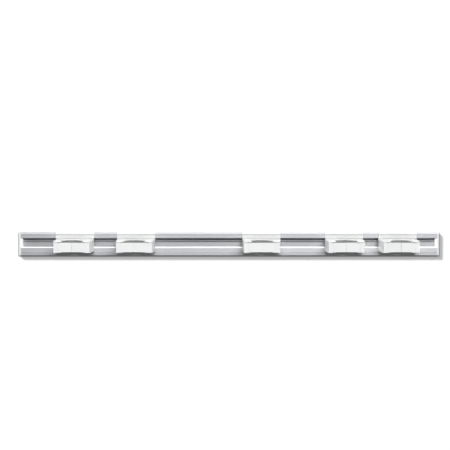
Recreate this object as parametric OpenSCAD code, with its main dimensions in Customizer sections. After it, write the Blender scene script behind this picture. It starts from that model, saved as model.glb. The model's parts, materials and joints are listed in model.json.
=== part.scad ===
// Wall rack for mops and brooms: an aluminium rail with five sliding spring-jaw holders.
// X runs along the rail, Z is up, the wall is the plane y = 0 and the front faces -Y.
// A depth named u is a distance in front of the wall, so y = -u.

/* [Rail] */
// Length over both end caps
rack_l = 900; // [740:1:1500]
// Height of the rail
rail_h = 53; // [52:0.5:60]
// Depth of the rail, from the wall to the face of its lips
rail_d = 14; // [13:0.5:18]
// Wall thickness of the extrusion
rail_t = 2.5; // [2:0.1:2.8]
// Height of the bevels along the two front edges
bevel_h = 3.6; // [3:0.1:5]
// Depth of those bevels
bevel_d = 5; // [4:0.5:6]
// Height of the upper lip
lip_h = 12.6; // [11:0.2:14]
// Height of the slot between the lips
slot_h = 18.7; // [16:0.1:19]
// Height of the slanted rim on top of the lower lip
rim_h = 2.6; // [1:0.1:4]
// Width of the fine grooves along both lips
groove_w = 0.5; // [0.4:0.1:1]
// Depth of those grooves
groove_d = 0.6; // [0.3:0.1:1]
// Set-back of the lower lip's upper part, which a faint slope leads to
slope_d = 0.25; // [0.1:0.05:0.5]
// Height of the small rib on the web
rib_h = 2; // [1:0.2:3]
// Depth of that rib
rib_d = 3.5; // [1:0.1:4]

/* [Wall screws] */
// Diameter of the screw holes in the web
screw_d = 5.5; // [4:0.5:6.5]
// Distance of the outer holes from the rack's ends
screw_outer = 100; // [80:1:120]
// Distance of the inner holes from the rack's ends
screw_inner = 235; // [225:1:250]

/* [End caps] */
// Thickness of a cap outside the rail
cap_t = 6; // [3:0.5:10]
// Length of its plug inside the rail
plug_l = 4; // [3:1:8]
// Radius of a cap's outer edges
cap_r = 2.5; // [0.5:0.5:2.5]

/* [Holders] */
// Width of a holder at the rail
holder_w = 81; // [80:1:90]
// Width of a holder at its front
front_w = 75.5; // [74:0.5:78]
// Reach of a holder in front of the rail
reach = 52; // [48:1:60]
// Width of the channel for a handle
channel_w = 45; // [40:1:46]
// Depth of the hollow between the back plate and the channel
hollow_d = 8; // [2:0.5:10]
// Thickness of the carrier's walls
wall_t = 3; // [2.6:0.1:4]
// Thickness of the carrier's top plate
top_t = 2; // [1.8:0.1:3]
// Thickness of the carrier's bottom plate
floor_t = 1.6; // [1.4:0.1:3]
// Thickness of the fixed front walls beside the jaws
ear_t = 2.2; // [1.8:0.1:2.2]
// Radius of the holder's lower corners
low_r = 3.5; // [2:0.5:5]
// Rise of the arched underside in the middle of a holder
arch_h = 1.6; // [0.5:0.1:1.8]
// Thickness of the hook over the rail's bevel
hook_t = 1.8; // [1.4:0.1:2.4]
// Running gap between a holder and the rail
slide_gap = 0.3; // [0.2:0.05:0.5]
// Width of the slider behind the lips
slider_w = 68; // [50:1:70]
// Height of the slider behind the lips
slider_h = 39; // [34:0.5:39.5]

/* [Holder places] */
// Distance of the first holder's centre from the rack's left end
left_1 = 122; // [95:1:150]
// Distance of the second holder's centre from the rack's left end
left_2 = 252; // [250:1:270]
// Place of the third holder's centre, from the middle of the rack
middle_3 = 69; // [0:1:75]
// Distance of the fourth holder's centre from the rack's right end
right_4 = 205; // [200:1:210]
// Distance of the fifth holder's centre from the rack's right end
right_5 = 91; // [85:1:100]

/* [Jaws] */
// Height of a jaw
jaw_h = 19.3; // [17:0.1:20]
// Height of the jaws' lower edge, from the middle of the rail
jaw_z = -11.8; // [-12:0.1:-10]
// Thickness of a jaw's arm at its hinge
jaw_t = 6; // [5.5:0.5:7]
// Slope of a jaw's front, from its hinge back to its tip
jaw_slope = 2; // [0:0.1:2.5]
// Distance from the handle channel's edge to a hinge axis
axis_in = 3; // [2.8:0.1:4]
// Distance from the holder's front to a hinge axis
axis_back = 4; // [3.8:0.1:4.5]
// Gap between a jaw and the bottom plate
jaw_gap = 0.4; // [0.3:0.1:0.8]
// Gap between a jaw and the top plate, drawn on across the front walls as a line
top_gap = 1.4; // [0.5:0.1:1.6]
// Diameter of a hinge pin
pin_d = 3; // [2.6:0.1:3.2]
// Radial play of a jaw on its pin
pin_play = 0.05; // [0.02:0.01:0.1]
// Depth of a grip pad's ribs
grip_rib = 0.8; // [0.4:0.1:1.2]
// Number of ribs on a grip pad
grip_ribs = 6; // [4:1:8]

/* [Springs] */
// Diameter of the spring wire
wire_d = 0.6; // [0.5:0.05:0.65]
// Number of turns
turns = 4; // [3:1:5]

/* [Hidden] */
$fn = 48;
end_x = rack_l / 2;
places = [left_1 - end_x, left_2 - end_x, middle_3, end_x - right_4, end_x - right_5];
holes = [end_x - screw_outer, end_x - screw_inner];
sides = ["left", "right"];
aluminium = [0.72, 0.73, 0.76];
white = [0.93, 0.94, 0.94];
soft_grey = [0.82, 0.83, 0.83];
steel = [0.62, 0.63, 0.65];
// Enough to run a cut past a face or a join into its neighbour
over = 1;
// Room left beyond the end of a pin or a tang
end_gap = 0.3;

// Rail section: the inside of each bevel runs parallel to its outside
rail_l = rack_l - 2 * cap_t;
top = rail_h / 2;
slot_z1 = top - lip_h;
slot_z0 = slot_z1 - slot_h;
lip_u = rail_d - rail_t;
bevel_l = norm([bevel_d, bevel_h]);
inside_u = rail_d - bevel_d + rail_t * (bevel_d - bevel_l) / bevel_h;
inside_z = top - ((bevel_d - rail_t) * bevel_h + rail_t * bevel_l) / bevel_d;
rim_top = 0.5;
rim_d = rail_t - rim_top;
rib_drop = 6.1;
rib_z = slot_z1 - rib_drop;
groove_drop = 2;
groove_z = -top + bevel_h + 6.1;
upper_groove_z = top - bevel_h - groove_drop;
slope_z0 = groove_z + 1;
slope_h = 4.2;
screw_z = (slot_z0 + rib_z) / 2;

// Carrier: heights and depths of its plates
back_u = rail_d + slide_gap;
face_u = back_u + wall_t;
front_u = rail_d + reach;
jaw_top = jaw_z + jaw_h;
ceiling_z = jaw_top + top_gap;
ledge_z = ceiling_z + top_t;
floor_z = jaw_z - jaw_gap - floor_t;
half_w = holder_w / 2;
front_half = front_w / 2;
taper = atan((half_w - front_half) / (front_u - face_u));
slider_u = lip_u - slide_gap;
slider_rise = 5.8;
slider_z = slot_z1 + slider_rise;
neck_x = slider_w / 5;
hook_u = rail_d - bevel_d / 2;
edge_r = 2;
crease_w = 1.2;
crease_d = 1.5;
crease_gap = 1.6;
arch_x = front_half - 1.6 * low_r;
arch_steps = 8;
foot_bevel = 1.2;
line_d = 1.5;
rim_t = 0.8;
rim_w = 1;
channel_u = face_u + hollow_d + channel_w / 2;

// Hinges: each jaw is drawn around its own axis, with its tip towards -X
axis_x = channel_w / 2 + axis_in;
axis_u = front_u - axis_back;
barrel_r = axis_back + 1;
seat_gap = 0.2;
jaw_rear = jaw_t - axis_back;
tip_gap = 0.1;
tip_r = axis_x - tip_gap;
corner_r = 2.5;
pin_end = 1.2;
pin_hold = 0.02;
heel_x = 0.4 * barrel_r;
heel_t = 1.4;
heel_reach = barrel_r + 2.3;
post_gap = 0.8;
post_l = 3.5;

// Springs: each coil stands in a pocket that is open to the carrier's top plate
wire_gap = 0.3;
coil_r = pin_d / 2 + wire_gap + wire_d / 2;
pocket_r = coil_r + wire_d / 2 + 0.4;
pocket_l = 8;
pocket_z = jaw_top - pocket_l;
coil_z0 = pocket_z + wire_gap + wire_d / 2;
coil_z1 = ceiling_z - wire_gap - wire_d / 2;
bend_r = wire_d;
tang_l = 1.2;
tang_d = wire_d + 2 * wire_gap;

// Grip pads, sunk into the rear of the jaws
pad_x0 = -(tip_r - jaw_rear - 1);
pad_x1 = -(barrel_r + 2.5);
pad_sink = 0.8;
pad_rise = 0.2;
pad_edge = 1.2;
pad_play = 0.1;

function holder_nodes(k) = [for (name = ["carrier", "hinge_pins"]) str("holder_", k, "_", name)];
function side_nodes(k) = [
    for (name = ["jaw", "grip", "spring"])
        for (side = sides) str("holder_", k, "_", name, "_", side)
];

// Height of a line parallel to the rail's upper bevel, at depth u and a distance off in front of it
function bevel_z(u, off) = top - bevel_h + ((rail_d - u) * bevel_h + off * bevel_l) / bevel_d;

// Points of an arc in steps of at most 15 degrees
function arc(centre, r, from, to) =
    let (steps = ceil(abs(to - from) / 15))
    [for (i = [0:steps]) let (a = from + (to - from) * i / steps) centre + r * [cos(a), sin(a)]];

// A [u, z] section drawn along the rail between two places
module along_rail(points, x0, x1) {
    translate([x0, 0, 0])
        rotate([90, 0, 90])
            linear_extrude(x1 - x0)
                polygon([for (p = points) [-p[0], p[1]]]);
}

// An [x, u] plan drawn upwards between two heights
module upright(points, z0, z1) {
    translate([0, 0, z0])
        linear_extrude(z1 - z0)
            polygon([for (p = points) [p[0], -p[1]]]);
}

// An [x, z] front view drawn from one depth to another
module along_depth(points, u0, u1) {
    translate([0, -u0, 0])
        rotate([90, 0, 0])
            linear_extrude(u1 - u0)
                polygon(points);
}

module block(x0, x1, u0, u1, z0, z1) {
    translate([x0, -u1, z0]) cube([x1 - x0, u1 - u0, z1 - z0]);
}

module post(x, u, r, z0, z1) {
    translate([x, -u, z0]) cylinder(h = z1 - z0, r = r);
}

// Places its children at a holder's right hinge axis, or mirrored at the left one
module at_hinge(k, side) {
    translate([places[k - 1], 0, 0])
        mirror([side == "left" ? 1 : 0, 0, 0])
            translate([axis_x, -axis_u, 0])
                children();
}

// Corners of a fine groove in the face of a lip, from below to above
function groove(z) = [
    [rail_d, z - groove_w / 2], [rail_d - groove_d, z - groove_w / 2],
    [rail_d - groove_d, z + groove_w / 2], [rail_d, z + groove_w / 2]
];

module rail() {
    section = [
        [0, -top], [rail_d - bevel_d, -top], [rail_d, -top + bevel_h],
        each groove(groove_z), [rail_d, slope_z0], [rail_d - slope_d, slope_z0 + slope_h],
        [rail_d - slope_d, slot_z0 - rim_h], [rail_d - rim_d, slot_z0], [lip_u, slot_z0],
        [lip_u, -inside_z], [inside_u, -top + rail_t], [rail_t, -top + rail_t],
        [rail_t, rib_z - rib_h / 2], [rail_t + rib_d, rib_z - rib_h / 2],
        [rail_t + rib_d, rib_z + rib_h / 2], [rail_t, rib_z + rib_h / 2],
        [rail_t, top - rail_t], [inside_u, top - rail_t], [lip_u, inside_z],
        [lip_u, slot_z1], [rail_d, slot_z1], each groove(upper_groove_z),
        [rail_d, top - bevel_h], [rail_d - bevel_d, top], [0, top]
    ];
    color(aluminium) difference() {
        along_rail(section, -rail_l / 2, rail_l / 2);
        for (x = holes, s = [-1, 1])
            translate([s * x, over, screw_z])
                rotate([90, 0, 0]) cylinder(h = rail_t + 2 * over, d = screw_d);
    }
}

// The right-hand cap, with rounded outer edges and a plug behind the lips
module end_cap(side) {
    outline = [
        [0, -top], [rail_d - bevel_d, -top], [rail_d, -top + bevel_h],
        [rail_d, top - bevel_h], [rail_d - bevel_d, top], [0, top]
    ];
    plan = concat(
        [[rail_l / 2, -over], [end_x, -over]],
        arc([end_x - cap_r, rail_d - cap_r], cap_r, 0, 90),
        [[rail_l / 2, rail_d]]
    );
    front = concat(
        [[rail_l / 2, -top]],
        arc([end_x - cap_r, -top + cap_r], cap_r, 270, 360),
        arc([end_x - cap_r, top - cap_r], cap_r, 0, 90),
        [[rail_l / 2, top]]
    );
    color(white) mirror([side == "left" ? 1 : 0, 0, 0]) {
        intersection() {
            along_rail(outline, rail_l / 2, end_x);
            upright(plan, -top - over, top + over);
            along_depth(front, -over, rail_d + over);
        }
        block(
            rail_l / 2 - plug_l, rail_l / 2 + over,
            rail_t + rib_d + slide_gap, lip_u - slide_gap,
            -inside_z + slide_gap, inside_z - slide_gap
        );
    }
}

// Front view of a holder's right side up to a height z1, [x, z] from that side, with rounded corners
function side_view(z1) = concat(
    [[-2 * holder_w, floor_z]],
    arc([-low_r, floor_z + low_r], low_r, 270, 360),
    arc([-edge_r, z1 - edge_r], edge_r, 0, 90),
    [[-2 * holder_w, z1]]
);

// Keeps what is inside both rounded sides, which are turned inwards by an angle
module between_sides(z1, turn) {
    intersection() {
        children();
        for (s = [-1, 1]) mirror([s < 0 ? 1 : 0, 0, 0])
            translate([half_w, -face_u, 0])
                rotate([0, 0, -turn])
                    along_depth(side_view(z1), -front_u, 2 * front_u);
    }
}

// Plate over the rail's upper lip, with a hook that follows the bevel and two creases across its face
module back_plate() {
    hook_off = slide_gap + hook_t;
    hook_z = bevel_z(hook_u, hook_off);
    face_z = bevel_z(face_u, hook_off);
    creases = [ledge_z + crease_gap, face_z - crease_gap];
    section = concat(
        [[back_u, floor_z], [face_u, floor_z]],
        [
            for (z = creases) each [
                [face_u, z - crease_w / 2], [face_u - crease_d, z - crease_w / 2],
                [face_u - crease_d, z + crease_w / 2], [face_u, z + crease_w / 2]
            ]
        ],
        [
            [face_u, face_z], [hook_u, hook_z],
            [hook_u, bevel_z(hook_u, slide_gap)], [back_u, bevel_z(back_u, slide_gap)]
        ]
    );
    between_sides(hook_z + edge_r, 0) along_rail(section, -half_w, half_w);
}

// Box of the holder in front of the rail: plates, side walls and the fixed ears beside the jaws
module shell() {
    plan = concat(
        [[-half_w, back_u], [half_w, back_u], [half_w, face_u]],
        arc([front_half - corner_r, front_u - corner_r], corner_r, taper, 90),
        arc([-front_half + corner_r, front_u - corner_r], corner_r, 90, 180 - taper),
        [[-half_w, face_u]]
    );
    room = [
        [-half_w + wall_t, face_u], [half_w - wall_t, face_u],
        [front_half - wall_t, front_u - ear_t], [-front_half + wall_t, front_u - ear_t]
    ];
    inner_z = floor_z + floor_t;
    arch = concat(
        [[arch_x, floor_z - over], [-arch_x, floor_z - over]],
        [
            for (i = [-arch_steps:arch_steps])
                let (t = i / arch_steps) [arch_x * t, floor_z + arch_h * (1 - t * t)]
        ]
    );
    foot = [
        [front_u - foot_bevel - over, floor_z - over], [front_u + over, floor_z - over],
        [front_u + over, floor_z + foot_bevel + over]
    ];
    difference() {
        between_sides(ledge_z, taper) upright(plan, floor_z - over, ledge_z + over);
        along_rail(foot, -holder_w, holder_w);
        upright(room, inner_z, ceiling_z);
        along_depth(arch, channel_u, front_u + over);
        block(-axis_x, axis_x, axis_u, front_u + over, inner_z, ceiling_z);
        for (s = [-1, 1]) post(s * axis_x, axis_u, barrel_r + seat_gap, inner_z, ceiling_z);
        block(-holder_w, holder_w, front_u - line_d, front_u + over, jaw_top, ceiling_z);
    }
}

// Slider behind the lips and its two necks through the slot
module slider() {
    block(-slider_w / 2, slider_w / 2, slider_u - wall_t, slider_u, slider_z - slider_h, slider_z);
    for (s = [-1, 1]) mirror([s < 0 ? 1 : 0, 0, 0])
        block(
            neck_x, slider_w / 2, slider_u - over, back_u + over,
            slot_z0 + slide_gap, slot_z1 - slide_gap
        );
}

// The upright channel that a handle stands in, open to the front, with a thin rim round its top
module handle_channel() {
    z0 = floor_z - over;
    z1 = ledge_z + over;
    post(0, channel_u, channel_w / 2, z0, z1);
    post(0, channel_u, channel_w / 2 + rim_w, ceiling_z - over, ledge_z - rim_t);
    block(-channel_w / 2, channel_w / 2, channel_u, front_u + over, z0, z1);
}

// Holes for one hinge pin and for the upper tang of its spring
module hinge_holes() {
    translate([0, 0, floor_z - over])
        cylinder(h = ceiling_z + pin_end + end_gap - floor_z + over, d = pin_d + 2 * pin_hold);
    translate(concat(coil_r * [cos(tang_a1), sin(tang_a1)], ceiling_z - over))
        cylinder(h = over + coil_z1 + bend_r + tang_l + end_gap - ceiling_z, d = tang_d, $fn = 24);
}

module carrier(k) {
    color(white) difference() {
        union() {
            translate([places[k - 1], 0, 0]) difference() {
                union() {
                    back_plate();
                    shell();
                    slider();
                }
                handle_channel();
            }
            // Stop posts between the plates, met by a closed jaw's heel and by an open jaw's arm
            for (side = sides) at_hinge(k, side)
                block(
                    0, heel_x - slide_gap, -barrel_r - post_gap - post_l, -barrel_r - post_gap,
                    floor_z + over, ceiling_z + over
                );
        }
        for (side = sides) at_hinge(k, side) hinge_holes();
    }
}

// The right-hand jaw, around its hinge axis, with a heel that stops it when it is closed
module jaw(k, side) {
    plan = concat(
        arc([0, 0], tip_r, 180 - asin((axis_back - jaw_slope) / tip_r), 180),
        arc([-tip_r + jaw_rear, 0], jaw_rear, 180, 270),
        arc([0, 0], barrel_r, 180 + asin(jaw_rear / barrel_r), 360 + asin(axis_back / barrel_r))
    );
    color(white) at_hinge(k, side) difference() {
        union() {
            upright(plan, jaw_z, jaw_top);
            block(heel_x, heel_x + heel_t, -heel_reach, -over, jaw_z, jaw_top);
        }
        translate([0, 0, jaw_z - over]) cylinder(h = jaw_h + 2 * over, d = pin_d + 2 * pin_play);
        translate([0, 0, pocket_z]) cylinder(h = jaw_top - pocket_z + over, r = pocket_r);
        translate(concat(coil_r * [cos(tang_a0), sin(tang_a0)], pocket_z - tang_l - bend_r - end_gap))
            cylinder(h = tang_l + bend_r + end_gap + over, d = tang_d, $fn = 24);
        block(
            pad_x0 - pad_play, pad_x1 + pad_play, -jaw_rear - over, -jaw_rear + pad_sink,
            jaw_z + pad_edge - pad_play, jaw_top - pad_edge + pad_play
        );
    }
}

// Soft ribbed pad on the rear of a jaw, where it meets a handle
module grip(k, side) {
    rib_w = (pad_x1 - pad_x0) / grip_ribs;
    ribs = [
        for (i = [0:grip_ribs - 1], a = [0:45:315])
            [pad_x1 - rib_w * (i + a / 360), -jaw_rear - pad_rise - grip_rib * (1 - cos(a)) / 2]
    ];
    edge = [[pad_x0, -jaw_rear - pad_rise], [pad_x0, -jaw_rear + pad_sink], [pad_x1, -jaw_rear + pad_sink]];
    plan = concat(ribs, edge);
    color(soft_grey) at_hinge(k, side)
        upright(plan, jaw_z + pad_edge, jaw_top - pad_edge);
}

module hinge_pins(k) {
    z0 = floor_z + end_gap;
    z1 = ceiling_z + pin_end;
    chamfer = 0.3;
    color(steel) for (side = sides) at_hinge(k, side) {
        translate([0, 0, z0]) cylinder(h = chamfer, d1 = pin_d - 2 * chamfer, d2 = pin_d);
        translate([0, 0, z0 + chamfer]) cylinder(h = z1 - z0 - 2 * chamfer, d = pin_d);
        translate([0, 0, z1 - chamfer]) cylinder(h = chamfer, d1 = pin_d, d2 = pin_d - 2 * chamfer);
    }
}

// Spring wire: one row [angle, height, slope] for each ring, from the lower tang to the upper one
bend_a = bend_r / coil_r * 180 / PI;
coil_slope = atan((coil_z1 - coil_z0) / (turns * 2 * PI * coil_r));
tang_a0 = 90;
tang_a1 = tang_a0 + 360 * turns + 2 * bend_a;
curl_rings = 8;
wire_sides = 6;
wire_rows = concat(
    [[tang_a0, coil_z0 - bend_r - tang_l, 90]],
    [for (b = [90, 60, 30]) [tang_a0 + bend_a * (1 - sin(b)), coil_z0 - bend_r * (1 - cos(b)), b]],
    [
        for (i = [0:turns * curl_rings])
            let (t = i / (turns * curl_rings))
            [tang_a0 + bend_a + 360 * turns * t, coil_z0 + (coil_z1 - coil_z0) * t, coil_slope]
    ],
    [for (b = [30, 60, 90]) [tang_a1 - bend_a * (1 - sin(b)), coil_z1 + bend_r * (1 - cos(b)), b]],
    [[tang_a1, coil_z1 + bend_r + tang_l, 90]]
);
function wire_centre(row) = [coil_r * cos(row[0]), coil_r * sin(row[0]), row[1]];
function wire_ring(row) =
    let (
        outwards = [cos(row[0]), sin(row[0]), 0],
        onwards = [-sin(row[0]), cos(row[0]), 0],
        across = cos(row[2]) * [0, 0, 1] - sin(row[2]) * onwards
    )
    [
        for (j = [0:wire_sides - 1])
            let (a = 360 * j / wire_sides)
            wire_centre(row) + wire_d / 2 * (cos(a) * outwards + sin(a) * across)
    ];
turn_gap = min([
    for (i = [0:len(wire_rows) - 1], j = [i + 1:1:len(wire_rows) - 1])
        if (abs(wire_rows[j][0] - wire_rows[i][0]) > 90)
            norm(wire_centre(wire_rows[j]) - wire_centre(wire_rows[i])) - wire_d
]);
echo("Least gap between the turns of a spring", turn_gap);

module spring(k, side) {
    last = len(wire_rows) - 1;
    around = [
        for (i = [0:last - 1], j = [0:wire_sides - 1])
            [i * wire_sides + j, i * wire_sides + (j + 1) % wire_sides]
    ];
    walls = [
        for (e = around) each [
            [e[0], e[0] + wire_sides, e[1]],
            [e[1], e[0] + wire_sides, e[1] + wire_sides]
        ]
    ];
    ends = [
        for (j = [1:wire_sides - 2]) each [
            [0, j, j + 1],
            [last * wire_sides, last * wire_sides + j + 1, last * wire_sides + j]
        ]
    ];
    color(steel) at_hinge(k, side)
        polyhedron([for (row = wire_rows) each wire_ring(row)], concat(walls, ends));
}

rail();
for (side = sides)
    end_cap(side);
for (k = [1:len(places)]) {
    carrier(k);
    hinge_pins(k);
    for (side = sides) {
        jaw(k, side);
        grip(k, side);
        spring(k, side);
    }
}
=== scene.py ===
# %% [markdown]
# Wall rack for mops and brooms, dressed for a picture.
#
# The solids of the rack come from its CAD model: an extruded aluminium rail, two white end caps and five
# white holders that slide along the rail. Each holder has two sprung jaws that swing inwards. This lesson
# loads those solids as a fixed frame and adds what CAD leaves out: softened edges, finishes, wound springs,
# ribbed grip pads, light and a camera. X runs along the rail, Z is up, the wall is the plane y = 0 and
# the front of the rack faces -Y. All lengths are in metres.

# %% Load the frame
import json
import math

import bmesh
import bpy
from mathutils import Matrix, Vector

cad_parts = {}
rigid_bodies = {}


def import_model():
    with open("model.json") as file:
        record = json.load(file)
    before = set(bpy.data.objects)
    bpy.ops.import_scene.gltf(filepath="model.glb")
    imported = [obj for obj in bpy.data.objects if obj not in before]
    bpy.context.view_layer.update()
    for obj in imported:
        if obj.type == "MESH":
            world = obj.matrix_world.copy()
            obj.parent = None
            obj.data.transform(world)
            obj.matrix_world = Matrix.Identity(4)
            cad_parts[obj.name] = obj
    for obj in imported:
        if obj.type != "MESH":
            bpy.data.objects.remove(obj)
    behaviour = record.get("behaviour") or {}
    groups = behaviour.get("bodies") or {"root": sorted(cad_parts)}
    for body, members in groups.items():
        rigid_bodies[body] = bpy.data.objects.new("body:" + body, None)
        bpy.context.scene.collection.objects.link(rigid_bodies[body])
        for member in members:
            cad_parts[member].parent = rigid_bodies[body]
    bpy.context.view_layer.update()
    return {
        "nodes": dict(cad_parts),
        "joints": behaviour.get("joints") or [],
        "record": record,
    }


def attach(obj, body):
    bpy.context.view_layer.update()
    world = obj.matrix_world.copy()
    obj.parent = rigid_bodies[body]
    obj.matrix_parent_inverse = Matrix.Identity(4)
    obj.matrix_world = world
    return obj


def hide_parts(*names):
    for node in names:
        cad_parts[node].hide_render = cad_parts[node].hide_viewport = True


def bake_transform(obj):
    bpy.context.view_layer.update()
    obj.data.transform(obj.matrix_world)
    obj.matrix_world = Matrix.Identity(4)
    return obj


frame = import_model()
scene = bpy.context.scene
MM = 0.001

# %% [markdown]
# ## Camera
#
# A product picture of a long, flat object is usually taken from far away with a long lens, so that the ends
# don't spread. Here the camera stands about 2.1 m in front of the rail, a little above it, and looks
# slightly down, which shows the ledges of the holders as thin strips. The lens follows from the distance
# and from how much of the frame the 900 mm rail fills.

# %% Camera
CAMERA_AT = Vector((-0.0085, -2.114, 0.175))
CAMERA_DOWN = math.radians(3.63)
FRAME_PIXELS = 450
RAIL_PIXELS = 422
RAIL_LENGTH = 0.9
RAIL_FRONT = 0.014

to_rail = Vector((0, -RAIL_FRONT, 0)) - CAMERA_AT
rail_distance = to_rail.y * math.cos(CAMERA_DOWN) - to_rail.z * math.sin(CAMERA_DOWN)
pixels_per_radian = rail_distance * RAIL_PIXELS / RAIL_LENGTH
camera = bpy.data.objects.new("camera", bpy.data.cameras.new("camera"))
camera.data.sensor_width = 36.0
camera.data.lens = camera.data.sensor_width * pixels_per_radian / FRAME_PIXELS
camera.location = CAMERA_AT
camera.rotation_euler = (math.pi / 2 - CAMERA_DOWN, 0, 0)
scene.collection.objects.link(camera)
scene.camera = camera
print("lens:", round(camera.data.lens, 1), "mm")

# %% [markdown]
# ## Helpers for finishes
#
# Every finish is a node tree around one Principled shader. A constant goes straight on the shader's socket.
# What varies over the surface comes from noise in object coordinates: the parts sit at the origin in
# metres, so a noise scale of 1000 gives grains of about a millimetre, the same on each part.

# %% Finish helpers
def new_finish(name, **sockets):
    """Gives a new material and its Principled shader, with the named sockets set."""
    material = bpy.data.materials.new(name)
    material.use_nodes = True
    shader = material.node_tree.nodes["Principled BSDF"]
    for socket, value in sockets.items():
        shader.inputs[socket.replace("_", " ")].default_value = value
    return material, shader


def add_node(material, kind, links=None, **settings):
    """Adds a node; each entry of links is an output to connect or a value to set."""
    node = material.node_tree.nodes.new(kind)
    for key, value in settings.items():
        setattr(node, key, value)
    for socket, value in (links or {}).items():
        if isinstance(value, bpy.types.NodeSocket):
            material.node_tree.links.new(value, node.inputs[socket])
        else:
            node.inputs[socket].default_value = value
    return node


def grain(material, scale, detail=3.0, stretch=(1, 1, 1)):
    """Gives noise in object coordinates; stretch multiplies its scale along each axis."""
    place = add_node(material, "ShaderNodeTexCoord")
    spread = add_node(material, "ShaderNodeMapping", {"Vector": place.outputs["Object"], "Scale": stretch})
    noise = {"Vector": spread.outputs["Vector"], "Scale": scale, "Detail": detail}
    return add_node(material, "ShaderNodeTexNoise", noise).outputs["Fac"]


def tones(material, shader, fac, dark, light):
    ramp = add_node(material, "ShaderNodeValToRGB", {"Fac": fac})
    ramp.color_ramp.elements[0].position = 0.3
    ramp.color_ramp.elements[0].color = (*dark, 1)
    ramp.color_ramp.elements[1].position = 0.7
    ramp.color_ramp.elements[1].color = (*light, 1)
    material.node_tree.links.new(ramp.outputs["Color"], shader.inputs["Base Color"])


def vary(material, shader, socket, fac, low, high):
    spread = {"Value": fac, "From Min": 0.3, "From Max": 0.7, "To Min": low, "To Max": high}
    scaled = add_node(material, "ShaderNodeMapRange", spread)
    material.node_tree.links.new(scaled.outputs["Result"], shader.inputs[socket])


def relief(material, shader, fac, height, strength):
    bump = add_node(material, "ShaderNodeBump", {"Height": fac, "Distance": height, "Strength": strength})
    material.node_tree.links.new(bump.outputs["Normal"], shader.inputs["Normal"])


print("finish helpers ready")

# %% [markdown]
# ## Finishes
#
# The rail is satin anodised aluminium. Its extrusion die leaves fine lines that run along the whole rail, so
# the noise is squeezed across the rail and stretched along X. The lines drive roughness and a very low
# relief, and the tone drifts slightly between bluish and neutral grey.

# %% Satin aluminium
satin_aluminium, shader = new_finish("satin_aluminium", Metallic=1.0)
die_lines = grain(satin_aluminium, 1.0, 4.0, (2.5, 1400, 1400))
tones(satin_aluminium, shader, die_lines, (0.63, 0.64, 0.655), (0.70, 0.71, 0.728))
vary(satin_aluminium, shader, "Roughness", die_lines, 0.56, 0.68)
relief(satin_aluminium, shader, die_lines, 0.02 * MM, 0.25)
print("finish:", satin_aluminium.name)

# %% [markdown]
# The caps, carriers and jaws are moulded in white plastic: an even body colour that wanders by about a
# percent, a satin gloss that is a little patchy, and the fine grain of the mould.

# %% White plastic
white_plastic, shader = new_finish("white_plastic", IOR=1.49)
tones(white_plastic, shader, grain(white_plastic, 40.0), (0.79, 0.795, 0.795), (0.82, 0.825, 0.822))
vary(white_plastic, shader, "Roughness", grain(white_plastic, 300.0), 0.42, 0.54)
relief(white_plastic, shader, grain(white_plastic, 4500.0, 2.0), 0.02 * MM, 0.3)
print("finish:", white_plastic.name)

# %% [markdown]
# The grip pads are a soft, matt thermoplastic rubber in pale grey. It has a coarser grain than the
# hard plastic, and dust in its pores makes the tone uneven.

# %% Soft grip
soft_grip, shader = new_finish("soft_grip", IOR=1.5)
tones(soft_grip, shader, grain(soft_grip, 500.0), (0.60, 0.61, 0.61), (0.68, 0.69, 0.69))
vary(soft_grip, shader, "Roughness", grain(soft_grip, 900.0), 0.62, 0.8)
relief(soft_grip, shader, grain(soft_grip, 2600.0, 4.0), 0.04 * MM, 0.5)
print("finish:", soft_grip.name)

# %% [markdown]
# Pins and springs are drawn stainless wire: metal with faint lines along the pins, which stand upright.

# %% Drawn steel
drawn_steel, shader = new_finish("drawn_steel", Metallic=1.0)
draw_lines = grain(drawn_steel, 1.0, 3.0, (3000, 3000, 120))
tones(drawn_steel, shader, draw_lines, (0.50, 0.51, 0.52), (0.62, 0.63, 0.64))
vary(drawn_steel, shader, "Roughness", draw_lines, 0.22, 0.36)
relief(drawn_steel, shader, draw_lines, 0.01 * MM, 0.2)
print("finish:", drawn_steel.name)

# %% [markdown]
# ## Softened edges
#
# A CAD solid has edges with no radius, which look like paper. A moulded or extruded edge has a small
# radius that catches the light. The frame's meshes stay as they are, so the softening is a stack of
# modifiers: a node group welds the faces and drops their stored normals, flat faces are joined, and a bevel
# rounds every edge that is sharper than 30 degrees.

# %% Weld node group
WELD_GAP = 0.002 * MM


def weld_group():
    """Builds the geometry nodes that drop stored normals and merge points at the same place."""
    group = bpy.data.node_groups.new("weld_faces", "GeometryNodeTree")
    group.interface.new_socket("Geometry", in_out="INPUT", socket_type="NodeSocketGeometry")
    group.interface.new_socket("Geometry", in_out="OUTPUT", socket_type="NodeSocketGeometry")
    last = group.nodes.new("NodeGroupInput").outputs["Geometry"]
    for attribute in ("custom_normal", "sharp_face", "sharp_edge"):
        drop = group.nodes.new("GeometryNodeRemoveAttribute")
        drop.inputs["Name"].default_value = attribute
        group.links.new(last, drop.inputs["Geometry"])
        last = drop.outputs["Geometry"]
    merge = group.nodes.new("GeometryNodeMergeByDistance")
    merge.inputs["Distance"].default_value = WELD_GAP
    group.links.new(last, merge.inputs["Geometry"])
    group.links.new(merge.outputs["Geometry"], group.nodes.new("NodeGroupOutput").inputs["Geometry"])
    return group


weld = weld_group()
print("node group:", weld.name, len(weld.nodes), "nodes")

# %% Soften a part
FLAT_ANGLE = math.radians(1)
EDGE_ANGLE = math.radians(30)


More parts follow.
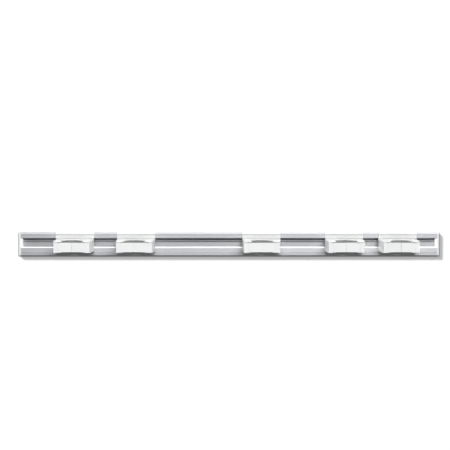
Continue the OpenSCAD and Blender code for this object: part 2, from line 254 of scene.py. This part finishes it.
def soften(part, radius, segments=3):
    """Rounds the edges of a CAD part with modifiers; its mesh stays as packed."""
    part.modifiers.new("weld", "NODES").node_group = weld
    flat = part.modifiers.new("join_flat", "DECIMATE")
    flat.decimate_type = "DISSOLVE"
    flat.angle_limit = FLAT_ANGLE
    round_edge = part.modifiers.new("round_edges", "BEVEL")
    round_edge.width = radius
    round_edge.segments = segments
    round_edge.limit_method = "ANGLE"
    round_edge.angle_limit = EDGE_ANGLE
    round_edge.harden_normals = True
    normals = part.modifiers.new("even_normals", "WEIGHTED_NORMAL")
    normals.keep_sharp = True


FINISHES = {
    "anodised_aluminium": (satin_aluminium, 0.2 * MM),
    "white_plastic": (white_plastic, 0.25 * MM),
    "soft_grip": (soft_grip, 0.1 * MM),
    "stainless_steel": (drawn_steel, 0.1 * MM),
}
JAW_EDGE = 0.1 * MM
slots = {row["node"]: row["material_slot"] for row in frame["record"]["subparts"]}
for name, part in frame["nodes"].items():
    finish, radius = FINISHES[slots[name]]
    part.data.materials.clear()
    part.data.materials.append(finish)
    if "spring" not in name and "grip" not in name:
        soften(part, JAW_EDGE if "jaw" in name else radius)
print("dressed CAD parts:", len(frame["nodes"]))

# %% [markdown]
# ## Springs
#
# Each jaw is closed by a torsion spring around its pin. Its CAD solid is a coarse tube, so a finer wire of
# the same form takes its place: a straight tang in the jaw, four turns, and a tang in the carrier. The wire
# is swept as rings around its centre line. It is baked in place at the hinge and is not attached to the jaw
# or the carrier.

# %% Spring centre line
COIL_R = 2.1 * MM
WIRE_R = 0.3 * MM
COIL_LOW = 0.1 * MM
COIL_HIGH = 8.3 * MM
TANG = 1.2 * MM
BEND = 0.6 * MM
TURNS = 4


def spring_line(steps_per_turn=28, bend_steps=6):
    """Gives the points of a spring's centre line about its pin, from the lower tang to the upper one."""
    bend_turn = BEND / COIL_R
    start = math.pi / 2
    sweep = TURNS * 2 * math.pi
    rows = [(start, COIL_LOW - BEND - TANG)]
    for i in range(bend_steps + 1):
        a = math.pi / 2 * (1 - i / bend_steps)
        rows.append((start + bend_turn * (1 - math.sin(a)), COIL_LOW - BEND * (1 - math.cos(a))))
    count = TURNS * steps_per_turn
    for i in range(1, count):
        t = i / count
        rows.append((start + bend_turn + sweep * t, COIL_LOW + (COIL_HIGH - COIL_LOW) * t))
    last = start + 2 * bend_turn + sweep
    for i in range(bend_steps + 1):
        a = math.pi / 2 * i / bend_steps
        rows.append((last - bend_turn * (1 - math.sin(a)), COIL_HIGH + BEND * (1 - math.cos(a))))
    rows.append((last, COIL_HIGH + BEND + TANG))
    return [Vector((COIL_R * math.cos(a), COIL_R * math.sin(a), z)) for a, z in rows]


print("spring line points:", len(spring_line()))

# %% Sweep a wire
def sweep_wire(line, radius, sides=12):
    """Builds a round wire as rings of points around a line that winds about Z."""
    shape = bmesh.new()
    angles = [2 * math.pi * j / sides for j in range(sides)]
    rings = []
    for i, point in enumerate(line):
        onward = (line[min(i + 1, len(line) - 1)] - line[max(i - 1, 0)]).normalized()
        across = onward.cross(Vector((point.x, point.y, 0))).normalized()
        outward = across.cross(onward)
        spokes = [math.cos(a) * outward + math.sin(a) * across for a in angles]
        rings.append([shape.verts.new(point + radius * spoke) for spoke in spokes])
    for low, high in zip(rings, rings[1:]):
        for j in range(sides):
            k = (j + 1) % sides
            shape.faces.new((low[j], low[k], high[k], high[j])).smooth = True
    shape.faces.new(rings[0])
    shape.faces.new(rings[-1])
    return shape


print("wire radius in mm:", round(WIRE_R / MM, 2))

# %% Put a piece at a hinge
def at_hinge(joint, shape, name, finish):
    """Moves a shape made for a right-hand hinge to its joint, mirrored for a left-hand one."""
    side = Matrix.Scale(-1 if "_left_" in joint["name"] else 1, 4, (1, 0, 0))
    shape.transform(Matrix.Translation(joint["pos_m"]) @ side)
    bmesh.ops.recalc_face_normals(shape, faces=shape.faces)
    data = bpy.data.meshes.new(name)
    shape.to_mesh(data)
    shape.free()
    data.materials.append(finish)
    piece = bpy.data.objects.new(name, data)
    scene.collection.objects.link(piece)
    return piece


def node_at(joint, kind):
    side = "left" if "_left_" in joint["name"] else "right"
    return f"{joint['parent']}_{kind}_{side}"


hinges = [joint for joint in frame["joints"] if joint["type"] == "hinge"]
print("hinges:", len(hinges))

# %% Springs in place
for joint in hinges:
    node = node_at(joint, "spring")
    wire = at_hinge(joint, sweep_wire(spring_line(), WIRE_R), node + "_wire", drawn_steel)
    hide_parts(node)
    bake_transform(wire)
print("springs:", len(hinges))

# %% [markdown]
# ## Grip pads
#
# A pad of soft rubber is let into the rear of each jaw, where it presses on a handle. The CAD solid has
# ribs of eight flat faces. The pad that stands for it has the same ribs as smooth waves, and its rim
# is rounded down to the face of the jaw, as a moulded pad's is. It is a grid of points over the pad's
# face, closed by a skirt that goes down into the recess.

# %% Grip pad shape
PAD_X = (-22.35 * MM, -7.5 * MM)
PAD_Z = (-10.6 * MM, 6.3 * MM)
PAD_FLOOR = 1.25 * MM
PAD_RIM = 2.0 * MM
PAD_RISE = 0.2 * MM
RIB_RISE = 0.8 * MM
RIM_R = 1.0 * MM
RIM_STEPS = (0, 0.1, 0.25, 0.45, 0.7, 1.0)
RIBS = 6
RIB_STEPS = 14


def rim_height(gap):
    """Gives the rounding of the rim, 0 at the edge to 1 at its radius further in."""
    inward = min(gap / RIM_R, 1.0)
    return math.sqrt(max(0.0, 1 - (1 - inward) ** 2))


def pad_height(x, z):
    """Gives how far the pad's face stands out at a point of the jaw's rear."""
    along = (x - PAD_X[0]) / (PAD_X[1] - PAD_X[0]) * RIBS
    rib = RIB_RISE * (1 - math.cos(2 * math.pi * along)) / 2
    gap = min(x - PAD_X[0], PAD_X[1] - x, z - PAD_Z[0], PAD_Z[1] - z)
    return PAD_RIM + rim_height(gap) * (PAD_RISE + rib)


print("pad:", RIBS, "ribs of", RIB_STEPS, "steps")

# %% Grip pad mesh
def pad_shape():
    """Builds a pad as a grid over its ribbed face, with a skirt down to the floor of the recess."""
    columns = RIBS * RIB_STEPS
    xs = [PAD_X[0] + (PAD_X[1] - PAD_X[0]) * i / columns for i in range(columns + 1)]
    zs = [PAD_Z[0] + e * RIM_R for e in RIM_STEPS] + [PAD_Z[1] - e * RIM_R for e in reversed(RIM_STEPS)]
    shape = bmesh.new()
    grid = [[shape.verts.new((x, pad_height(x, z), z)) for x in xs] for z in zs]
    for low, high in zip(grid, grid[1:]):
        for i in range(columns):
            shape.faces.new((low[i], low[i + 1], high[i + 1], high[i])).smooth = True
    rim = grid[0] + [row[-1] for row in grid[1:]] + grid[-1][-2::-1] + [row[0] for row in grid[-2:0:-1]]
    foot = [shape.verts.new((vert.co.x, PAD_FLOOR, vert.co.z)) for vert in rim]
    for i in range(len(rim)):
        j = (i + 1) % len(rim)
        shape.faces.new((rim[i], rim[j], foot[j], foot[i]))
    shape.faces.new(foot)
    return shape


for joint in hinges:
    node = node_at(joint, "grip")
    pad = at_hinge(joint, pad_shape(), node + "_pad", soft_grip)
    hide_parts(node)
    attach(pad, joint["child"])
print("grip pads:", len(hinges))

# %% [markdown]
# ## Wall and floor
#
# The rack hangs on a pale wall, and a pale floor lies well below it. Both sheets have one side only: seen
# from behind or from below they are clear, so that every side of the rack can be looked at. They throw no
# light back on the rack and don't show in its gloss, so that the lamps alone shape it.

# %% Wall and floor
def sheet_of(name, corners, finish):
    data = bpy.data.meshes.new(name)
    data.from_pydata(corners, [], [range(len(corners))])
    data.materials.append(finish)
    sheet = bpy.data.objects.new(name, data)
    sheet.visible_shadow = False
    sheet.visible_diffuse = False
    sheet.visible_glossy = False
    scene.collection.objects.link(sheet)
    return sheet


def one_sided(finish, shader):
    """Makes a finish clear where its sheet is seen from the back."""
    face = add_node(finish, "ShaderNodeNewGeometry")
    clear = add_node(finish, "ShaderNodeBsdfTransparent")
    ways = {0: face.outputs["Backfacing"], 1: shader.outputs[0], 2: clear.outputs[0]}
    either = add_node(finish, "ShaderNodeMixShader", ways)
    surface = finish.node_tree.nodes["Material Output"].inputs["Surface"]
    finish.node_tree.links.new(either.outputs[0], surface)


FLOOR_Z = -1.0
FLOOR_HALF = 8.0
WALL_HALF = 4.0
WALL_TOP = 3.0
WALL_Y = 0.8 * MM
pale_floor, shader = new_finish("pale_floor", Roughness=0.8)
tones(pale_floor, shader, grain(pale_floor, 6.0), (0.82, 0.82, 0.82), (0.86, 0.86, 0.86))
one_sided(pale_floor, shader)
around = [(-1, -1), (1, -1), (1, 1), (-1, 1)]
floor = sheet_of("floor", [(x * FLOOR_HALF, y * FLOOR_HALF, FLOOR_Z) for x, y in around], pale_floor)

pale_wall, shader = new_finish("pale_wall", Roughness=0.9, Emission_Strength=0.33)
tones(pale_wall, shader, grain(pale_wall, 3.0), (0.94, 0.94, 0.94), (0.96, 0.96, 0.96))
shader.inputs["Emission Color"].default_value = (1, 1, 1, 1)
one_sided(pale_wall, shader)
upright = [(-1, FLOOR_Z), (1, FLOOR_Z), (1, WALL_TOP), (-1, WALL_TOP)]
wall = sheet_of("wall", [(x * WALL_HALF, WALL_Y, z) for x, z in upright], pale_wall)
print("stage: wall and floor")

# %% [markdown]
# ## Light
#
# White plastic and satin metal want different light, and light linking gives each its own lamps. The
# plastic gets two wide soft lamps: one from above, for the ledges, and one from a little below the rack. The
# lower one brightens the fronts of the holders but doesn't reach the plates behind their ledges, so that
# white stands out from white.
#
# The metal gets a strip from above, which leaves shade under the upper lip of the rail and under the
# holders. A steeper strip reaches the two lips but hardly the web behind them, so that the slot looks
# hollow. Both strips hang a little to the right, so the rail brightens from left to right. A lamp overhead
# brightens the upper bevel.
#
# A lamp on either side keeps the carriers' side walls white. The carriers don't block it, so that none
# shades its neighbour, but the jaws do, so that the seams around them stay dark. A lamp behind the rack
# lights its back, for views from there. Each end cap is lit from the other end only: its outer edge falls
# into shade and closes the outline.

# %% Soft lamps
LAMP_DISTANCE = 3.0
WIDE = (3.6, 0.8)
STRIP = (2.4, 0.25)
STRIP_TURN = 16
SIDE_TURN = 97


def link_lamp(lamp, things, state="INCLUDE"):
    lit = bpy.data.collections.new("lit_by_" + lamp.name)
    for thing in things:
        lit.objects.link(thing)
    for member in lit.collection_objects:
        member.light_linking.link_state = state
    lamp.light_linking.receiver_collection = lit


def block_lamp(lamp, things):
    blockers = bpy.data.collections.new("blocks_" + lamp.name)
    for thing in things:
        blockers.objects.link(thing)
    lamp.light_linking.blocker_collection = blockers


def soft_lamp(name, up, size, power, aside=0):
    """Hangs a lamp that faces the origin; up and aside are degrees, size is in metres, power in watts."""
    turn = Matrix.Rotation(math.radians(aside), 3, "Z") @ Matrix.Rotation(math.radians(-up), 3, "X")
    away = turn @ Vector((0, -LAMP_DISTANCE, 0))
    lamp = bpy.data.objects.new(name, bpy.data.lights.new(name, "AREA"))
    lamp.data.shape = "RECTANGLE"
    lamp.data.size, lamp.data.size_y = size
    lamp.data.energy = power
    lamp.location = away
    lamp.rotation_euler = (-away).to_track_quat("-Z", "Y").to_euler()
    lamp.visible_camera = False
    scene.collection.objects.link(lamp)
    return lamp


rail = frame["nodes"]["rail"]
caps = {side: frame["nodes"]["end_cap_" + side] for side in ("left", "right")}
not_holders = [rail, wall, floor, *caps.values()]
link_lamp(soft_lamp("ledge_lamp", up=54, size=WIDE, power=104), not_holders, "EXCLUDE")
link_lamp(soft_lamp("front_lamp", up=-16, size=(3.6, 0.3), power=38), not_holders, "EXCLUDE")
link_lamp(soft_lamp("metal_lamp", up=35, size=STRIP, power=85, aside=STRIP_TURN), [rail])
link_lamp(soft_lamp("lip_lamp", up=63, size=STRIP, power=50, aside=STRIP_TURN), [rail])
link_lamp(soft_lamp("bevel_lamp", up=84, size=WIDE, power=18), [rail])
link_lamp(soft_lamp("back_lamp", up=160, size=(2.4, 1.0), power=40), [wall, floor], "EXCLUDE")
carriers = [part for name, part in frame["nodes"].items() if "_carrier" in name]
jaws = [part for name, part in frame["nodes"].items() if "_jaw_" in name]
for name, aside in (("left_lamp", -SIDE_TURN), ("right_lamp", SIDE_TURN)):
    side_lamp = soft_lamp(name, up=0, size=(1.0, 1.0), power=60, aside=aside)
    link_lamp(side_lamp, carriers)
    block_lamp(side_lamp, [rail, *jaws])
for side, aside, power in (("left", 30, 116), ("right", -50, 156)):
    cap_lamp = soft_lamp(side + "_cap_lamp", up=20, size=(0.5, 0.5), power=power, aside=aside)
    link_lamp(cap_lamp, [caps[side]])
    block_lamp(cap_lamp, [rail])
print("side lamps light", len(carriers), "carriers")

# %% [markdown]
# The wall has a lamp of its own too, from the upper left, because on a plain wall the holders' long shadows
# would draw the eye away from the rack. It shines on the wall and the floor alone, and only the rail and
# its caps block it, so that they throw one thin shadow.

# %% Wall lamp
WALL_LIGHT = 2.7
WALL_LIGHT_WAY = Vector((0.75, 1.0, -0.8))
SUN_ANGLE = math.radians(12)
wall_lamp = bpy.data.objects.new("wall_lamp", bpy.data.lights.new("wall_lamp", "SUN"))
wall_lamp.data.energy = WALL_LIGHT
wall_lamp.data.angle = SUN_ANGLE
wall_lamp.rotation_mode = "QUATERNION"
wall_lamp.rotation_quaternion = WALL_LIGHT_WAY.to_track_quat("-Z", "Y")
scene.collection.objects.link(wall_lamp)
link_lamp(wall_lamp, [wall, floor])
block_lamp(wall_lamp, [rail, *caps.values()])

# %% [markdown]
# The surrounding is a dim studio: grey above, dark just below the horizon and towards the two sides, and
# grey again straight down. The lower bevel of the rail mirrors the part below, so that it is darker than
# the faces of the lips and draws the rail's outline. Where the surrounding itself is seen, behind the
# rack, it is a plain pale grey.

# %% Surrounding
SKY = [(0.0, 0.24), (0.3, 0.11), (0.44, 0.12), (0.53, 0.24), (0.75, 0.28), (1.0, 0.36)]
SIDE_SHADE = 0.2
SHADE_FROM, SHADE_TO = 0.4, 0.95
PALE = (0.78, 0.79, 0.80, 1)
world = bpy.data.worlds.new("surrounding")
world.use_nodes = True
scene.world = world
direction = add_node(world, "ShaderNodeTexCoord").outputs["Generated"]
way = add_node(world, "ShaderNodeSeparateXYZ", {"Vector": direction})
rise = add_node(world, "ShaderNodeMapRange", {"Value": way.outputs["Z"], "From Min": -1.0, "From Max": 1.0})
ramp = add_node(world, "ShaderNodeValToRGB", {"Fac": rise.outputs["Result"]})
for place, _ in SKY[1:-1]:
    ramp.color_ramp.elements.new(place)
for stop, (place, tone) in zip(ramp.color_ramp.elements, SKY):
    stop.position = place
    stop.color = (tone, tone, tone, 1)
aside = add_node(world, "ShaderNodeMath", {0: way.outputs["X"]}, operation="ABSOLUTE")
shade = {"Value": aside.outputs[0], "From Min": SHADE_FROM, "From Max": SHADE_TO}
shade.update({"To Min": 1.0, "To Max": SIDE_SHADE})
level = add_node(world, "ShaderNodeMapRange", shade)
background = world.node_tree.nodes["Background"]
world.node_tree.links.new(ramp.outputs["Color"], background.inputs["Color"])
world.node_tree.links.new(level.outputs["Result"], background.inputs["Strength"])
pale = add_node(world, "ShaderNodeBackground", {"Color": PALE})
path = add_node(world, "ShaderNodeLightPath")
ways = {0: path.outputs["Is Camera Ray"], 1: background.outputs[0], 2: pale.outputs[0]}
either = add_node(world, "ShaderNodeMixShader", ways)
world.node_tree.links.new(either.outputs[0], world.node_tree.nodes["World Output"].inputs["Surface"])
scene.view_settings.view_transform = "Standard"
print("surrounding:", len(SKY), "tones from below to above")
